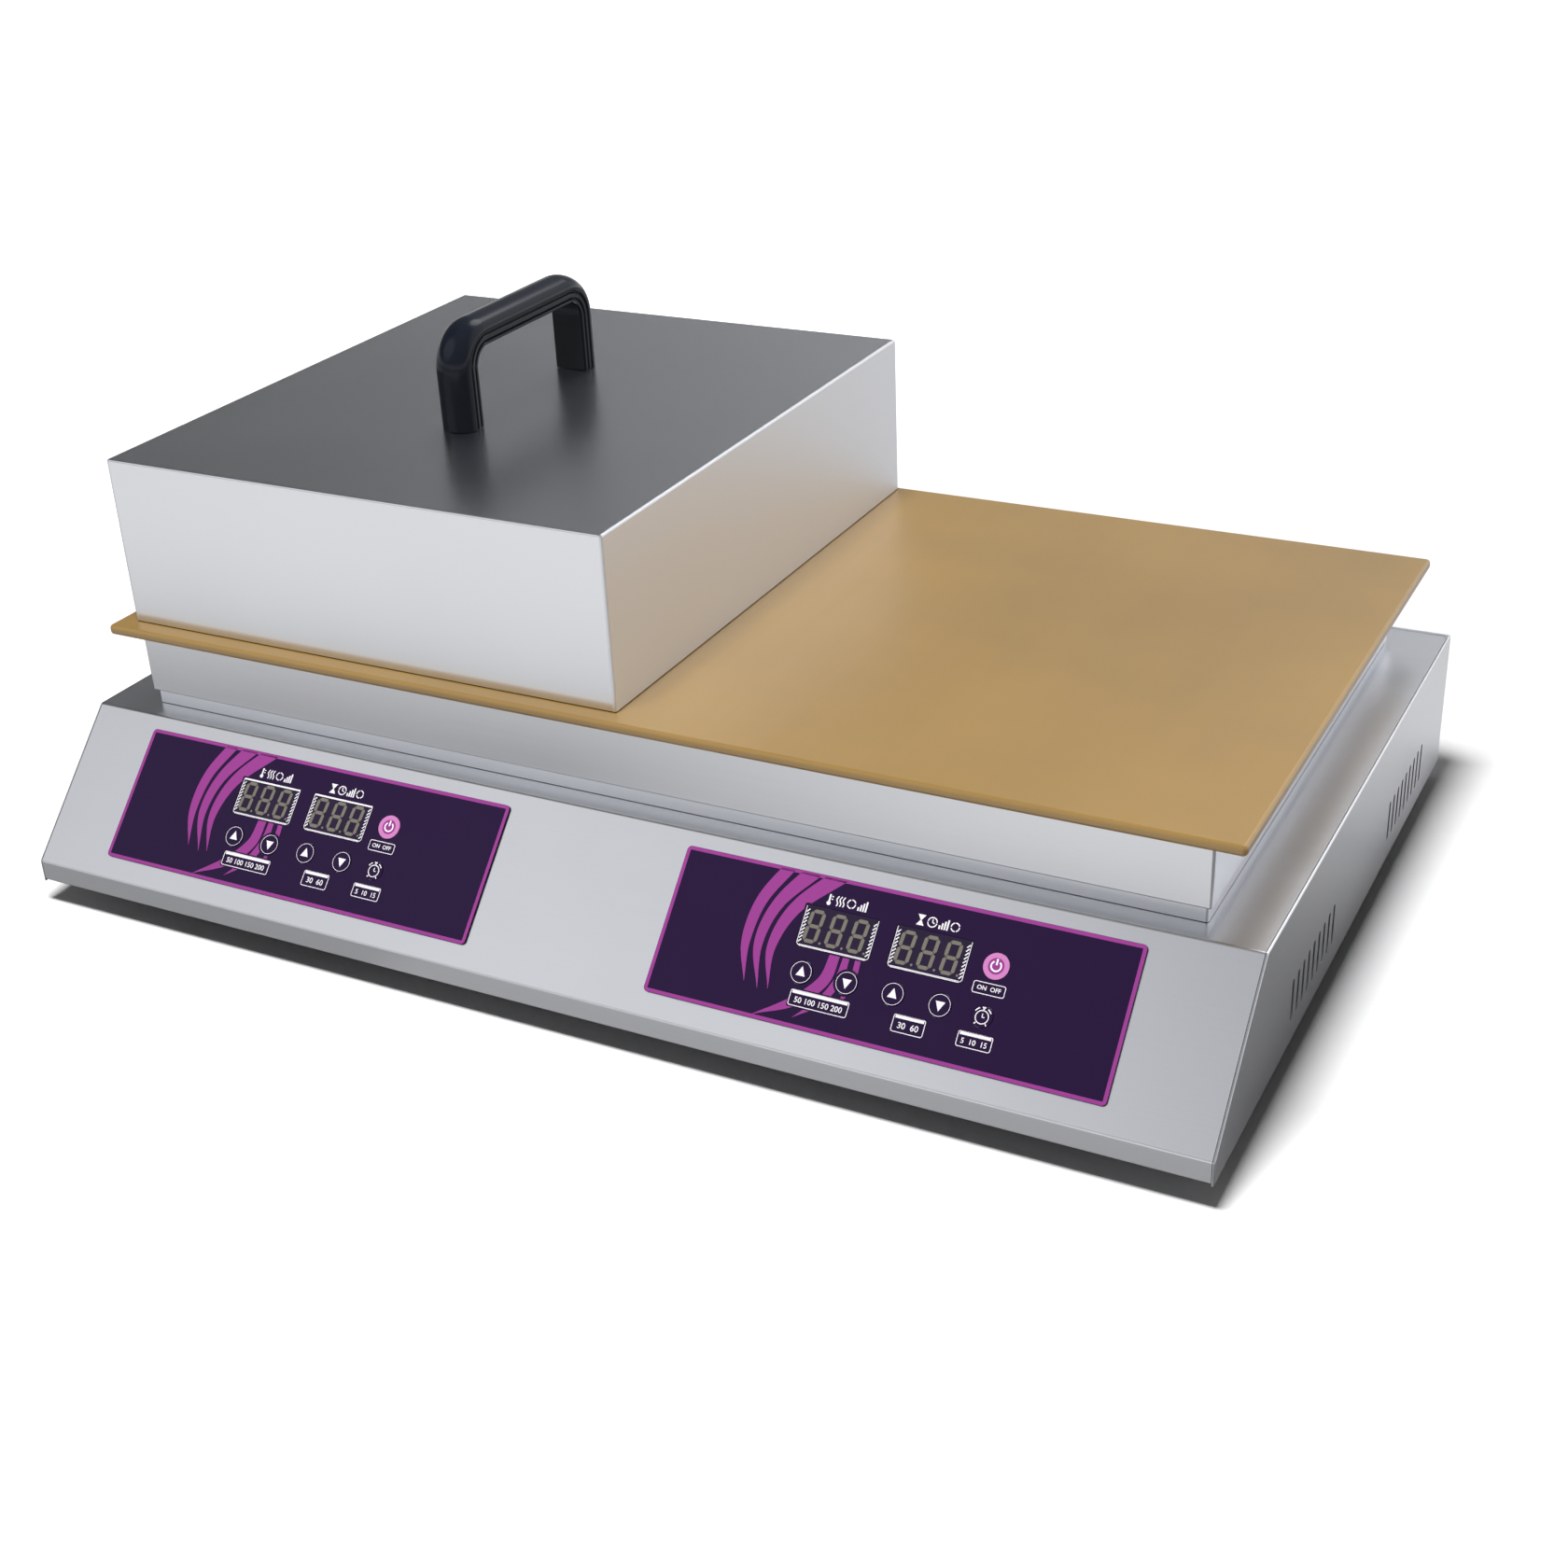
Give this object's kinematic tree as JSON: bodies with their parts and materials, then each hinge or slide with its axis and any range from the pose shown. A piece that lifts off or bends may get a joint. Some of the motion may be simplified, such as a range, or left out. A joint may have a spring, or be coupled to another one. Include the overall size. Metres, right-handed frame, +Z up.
{
  "type": "souffle pancake maker",
  "caption": "Countertop griddle with a sloped control front, one long plate over separate heating zones, and a lift-off box lid with a bow handle.",
  "frame": {"origin": "centre of the overall size, feet to handle and lip to gland, dropped to the plane that the feet stand on", "axes": "+X along the front, to the right seen from the controls; +Y from the front lip to the rear; +Z up"},
  "size_m": [0.7, 0.4684, 0.3066],
  "materials": {
    "stainless": "satin stainless steel sheet with a fine brush",
    "lid_steel": "satin stainless steel sheet",
    "griddle_gold": "satin gold-brown non-stick coat",
    "fastener_steel": "bright plated steel",
    "heater_sheath": "dark heat-tinted sheath",
    "insulation": "pressed ceramic fibre board",
    "bare_aluminium": "extruded, bare",
    "handle_black": "moulded black, glossy",
    "foot_rubber": "moulded black",
    "overlay_purple": "dark purple film, semi-gloss",
    "key_purple": "dark purple film key, semi-gloss",
    "display_dark": "dark window, unlit segments",
    "circuit_board": "green glass-epoxy board",
    "relay_grey": "moulded grey",
    "terminal_cream": "moulded cream",
    "gland_black": "moulded black nylon",
    "earth_brass": "plain brass"
  },
  "bodies": {
    "base": {"main_cover": "stainless", "side_panel_left": "stainless", "side_panel_right": "stainless", "rear_panel": "stainless", "bottom_plate": "stainless", "rear_screw_low_left": "fastener_steel", "rear_screw_high_left": "fastener_steel", "rear_screw_low_right": "fastener_steel", "rear_screw_high_right": "fastener_steel", "foot_front_left": "foot_rubber", "foot_front_right": "foot_rubber", "foot_rear_left": "foot_rubber", "foot_rear_right": "foot_rubber", "riser_frame": "stainless", "heater_box": "stainless", "griddle_plate": "griddle_gold", "heater_clamp_left": "fastener_steel", "heater_clamp_right": "fastener_steel", "heat_shield": "fastener_steel", "insulation_board": "insulation", "heating_element_left": "heater_sheath", "heating_element_right": "heater_sheath", "temperature_probe_left": "fastener_steel", "temperature_probe_right": "fastener_steel", "probe_block_left": "bare_aluminium", "probe_block_right": "bare_aluminium", "limit_cutout_left": "fastener_steel", "limit_cutout_right": "fastener_steel", "control_overlay_left": "overlay_purple", "control_overlay_right": "overlay_purple", "heat_display_left": "display_dark", "time_display_left": "display_dark", "heat_display_right": "display_dark", "time_display_right": "display_dark", "control_board_left": "circuit_board", "control_board_right": "circuit_board", "relay_heat_sink": "bare_aluminium", "relay_left": "relay_grey", "relay_right": "relay_grey", "supply_board": "circuit_board", "terminal_block": "terminal_cream", "cable_gland": "gland_black", "gland_nut": "gland_black", "earth_stud": "earth_brass"},
    "lid": {"lid_shell": "lid_steel", "lid_handle": "handle_black", "handle_screw_front": "fastener_steel", "handle_screw_rear": "fastener_steel"},
    "heat_up_left": {"heat_up_key_left": "key_purple"},
    "heat_down_left": {"heat_down_key_left": "key_purple"},
    "time_up_left": {"time_up_key_left": "key_purple"},
    "time_down_left": {"time_down_key_left": "key_purple"},
    "power_left": {"power_key_left": "key_purple"},
    "timer_left": {"timer_key_left": "key_purple"},
    "heat_up_right": {"heat_up_key_right": "key_purple"},
    "heat_down_right": {"heat_down_key_right": "key_purple"},
    "time_up_right": {"time_up_key_right": "key_purple"},
    "time_down_right": {"time_down_key_right": "key_purple"},
    "power_right": {"power_key_right": "key_purple"},
    "timer_right": {"timer_key_right": "key_purple"}
  },
  "joints": [
    {"name": "lid_lift", "type": "slide", "parent": "base", "child": "lid", "axis": [0, 0, 1], "range_m": [0, 0.25]},
    {"name": "heat_up_left_press", "type": "slide", "parent": "base", "child": "heat_up_left", "axis": [0, 0.7116, -0.7025], "range_m": [0, 0.0003], "stiffness_N_per_m": 1000},
    {"name": "heat_down_left_press", "type": "slide", "parent": "base", "child": "heat_down_left", "axis": [0, 0.7116, -0.7025], "range_m": [0, 0.0003], "stiffness_N_per_m": 1000},
    {"name": "time_up_left_press", "type": "slide", "parent": "base", "child": "time_up_left", "axis": [0, 0.7116, -0.7025], "range_m": [0, 0.0003], "stiffness_N_per_m": 1000},
    {"name": "time_down_left_press", "type": "slide", "parent": "base", "child": "time_down_left", "axis": [0, 0.7116, -0.7025], "range_m": [0, 0.0003], "stiffness_N_per_m": 1000},
    {"name": "power_left_press", "type": "slide", "parent": "base", "child": "power_left", "axis": [0, 0.7116, -0.7025], "range_m": [0, 0.0003], "stiffness_N_per_m": 1000},
    {"name": "timer_left_press", "type": "slide", "parent": "base", "child": "timer_left", "axis": [0, 0.7116, -0.7025], "range_m": [0, 0.0003], "stiffness_N_per_m": 1000},
    {"name": "heat_up_right_press", "type": "slide", "parent": "base", "child": "heat_up_right", "axis": [0, 0.7116, -0.7025], "range_m": [0, 0.0003], "stiffness_N_per_m": 1000},
    {"name": "heat_down_right_press", "type": "slide", "parent": "base", "child": "heat_down_right", "axis": [0, 0.7116, -0.7025], "range_m": [0, 0.0003], "stiffness_N_per_m": 1000},
    {"name": "time_up_right_press", "type": "slide", "parent": "base", "child": "time_up_right", "axis": [0, 0.7116, -0.7025], "range_m": [0, 0.0003], "stiffness_N_per_m": 1000},
    {"name": "time_down_right_press", "type": "slide", "parent": "base", "child": "time_down_right", "axis": [0, 0.7116, -0.7025], "range_m": [0, 0.0003], "stiffness_N_per_m": 1000},
    {"name": "power_right_press", "type": "slide", "parent": "base", "child": "power_right", "axis": [0, 0.7116, -0.7025], "range_m": [0, 0.0003], "stiffness_N_per_m": 1000},
    {"name": "timer_right_press", "type": "slide", "parent": "base", "child": "timer_right", "axis": [0, 0.7116, -0.7025], "range_m": [0, 0.0003], "stiffness_N_per_m": 1000}
  ]
}
